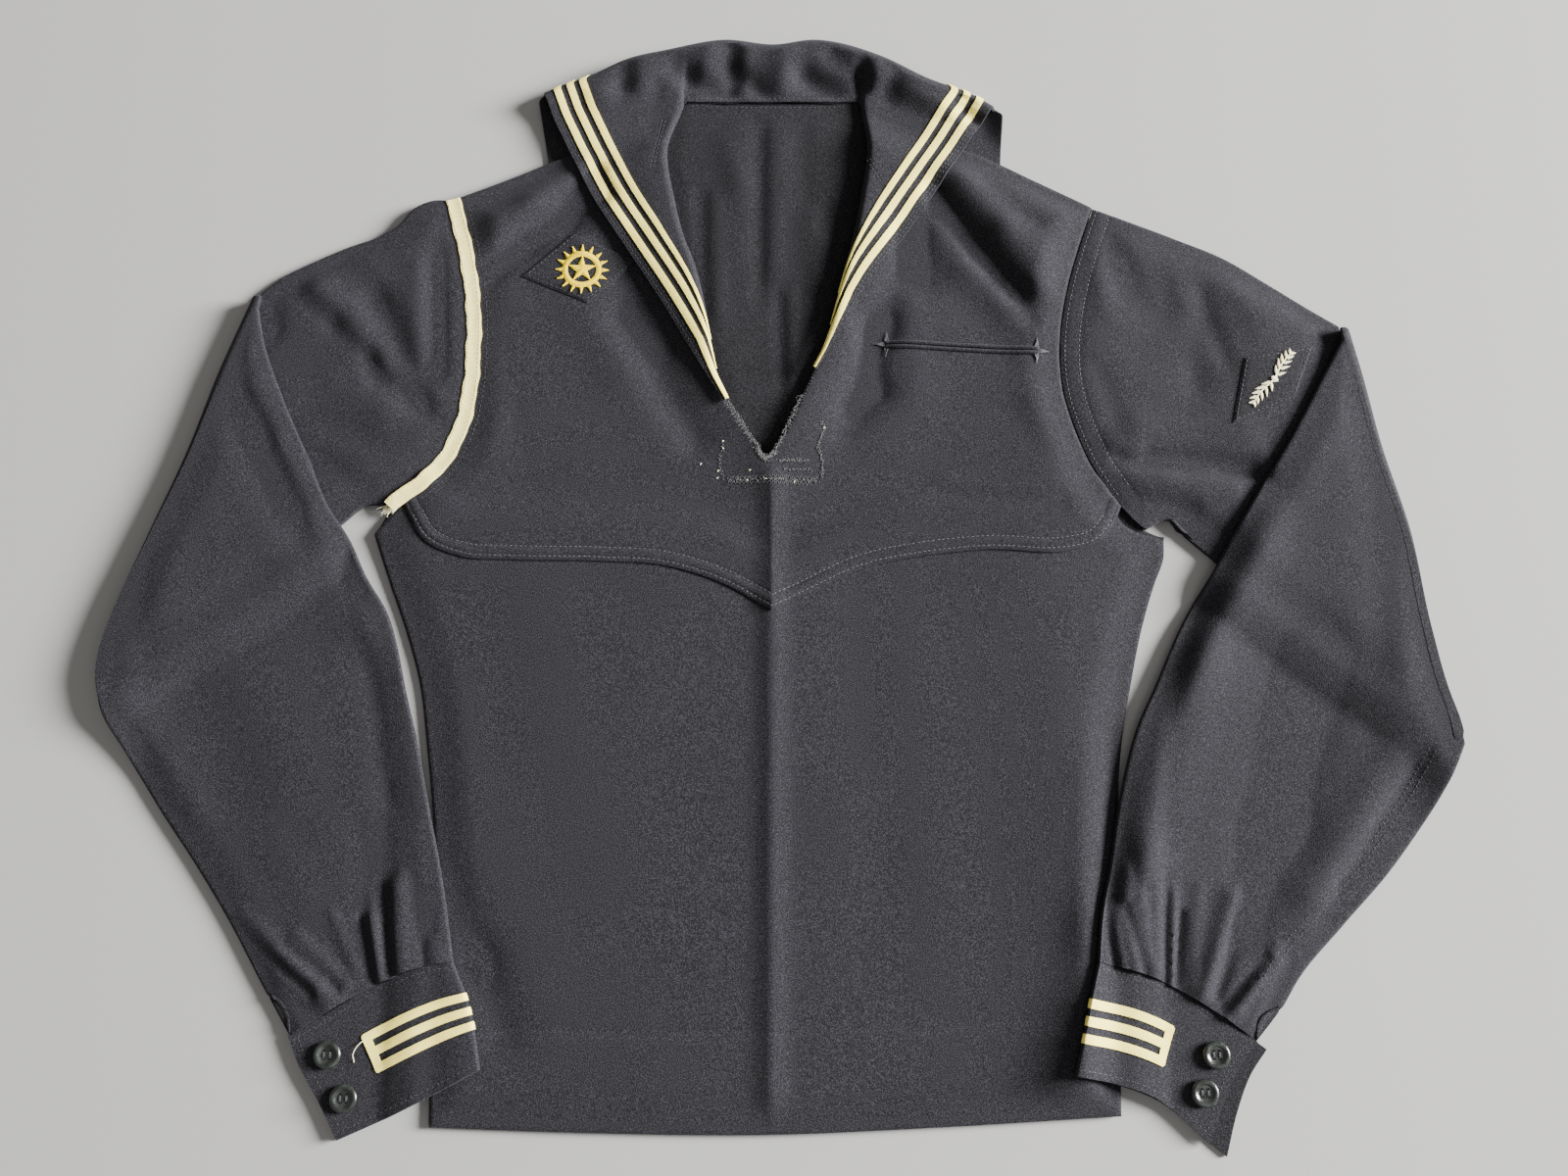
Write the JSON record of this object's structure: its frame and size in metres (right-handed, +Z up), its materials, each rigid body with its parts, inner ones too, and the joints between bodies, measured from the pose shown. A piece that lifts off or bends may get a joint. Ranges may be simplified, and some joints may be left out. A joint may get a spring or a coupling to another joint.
{
  "type": "sailor jumper",
  "caption": "Dark wool sailor's dress jumper laid flat, sleeves folded over, with taped square collar, neck slash, yoke and buttoned cuffs.",
  "frame": {"origin": "centre of the garment's outline, on the surface it lies on", "axes": "+X to the right of a viewer looking down with the collar away from them, which is towards the wearer's left sleeve; +Y towards the collar; +Z up from the surface"},
  "size_m": [0.8311, 0.7159, 0.016],
  "materials": {
    "navy_wool": "matt napped wool",
    "patch_cloth": "matt wool felt",
    "cream_tape": "matt woven cotton tape",
    "button_black": "polished"
  },
  "bodies": {
    "root": {"back": "navy_wool", "front": "navy_wool", "front_yoke": "navy_wool", "collar": "navy_wool", "right_sleeve": "navy_wool", "left_sleeve": "navy_wool", "right_cuff": "navy_wool", "left_cuff": "navy_wool", "pocket_welt_upper": "navy_wool", "pocket_welt_lower": "navy_wool", "chest_patch": "patch_cloth", "sleeve_patch": "patch_cloth", "collar_tape_right_1": "cream_tape", "collar_tape_right_2": "cream_tape", "collar_tape_right_3": "cream_tape", "collar_tape_left_1": "cream_tape", "collar_tape_left_2": "cream_tape", "collar_tape_left_3": "cream_tape", "right_cuff_tape": "cream_tape", "left_cuff_tape": "cream_tape", "shoulder_tape_right": "cream_tape", "right_cuff_button_1": "button_black", "right_cuff_button_2": "button_black", "left_cuff_button_1": "button_black", "left_cuff_button_2": "button_black"}
  },
  "joints": []
}
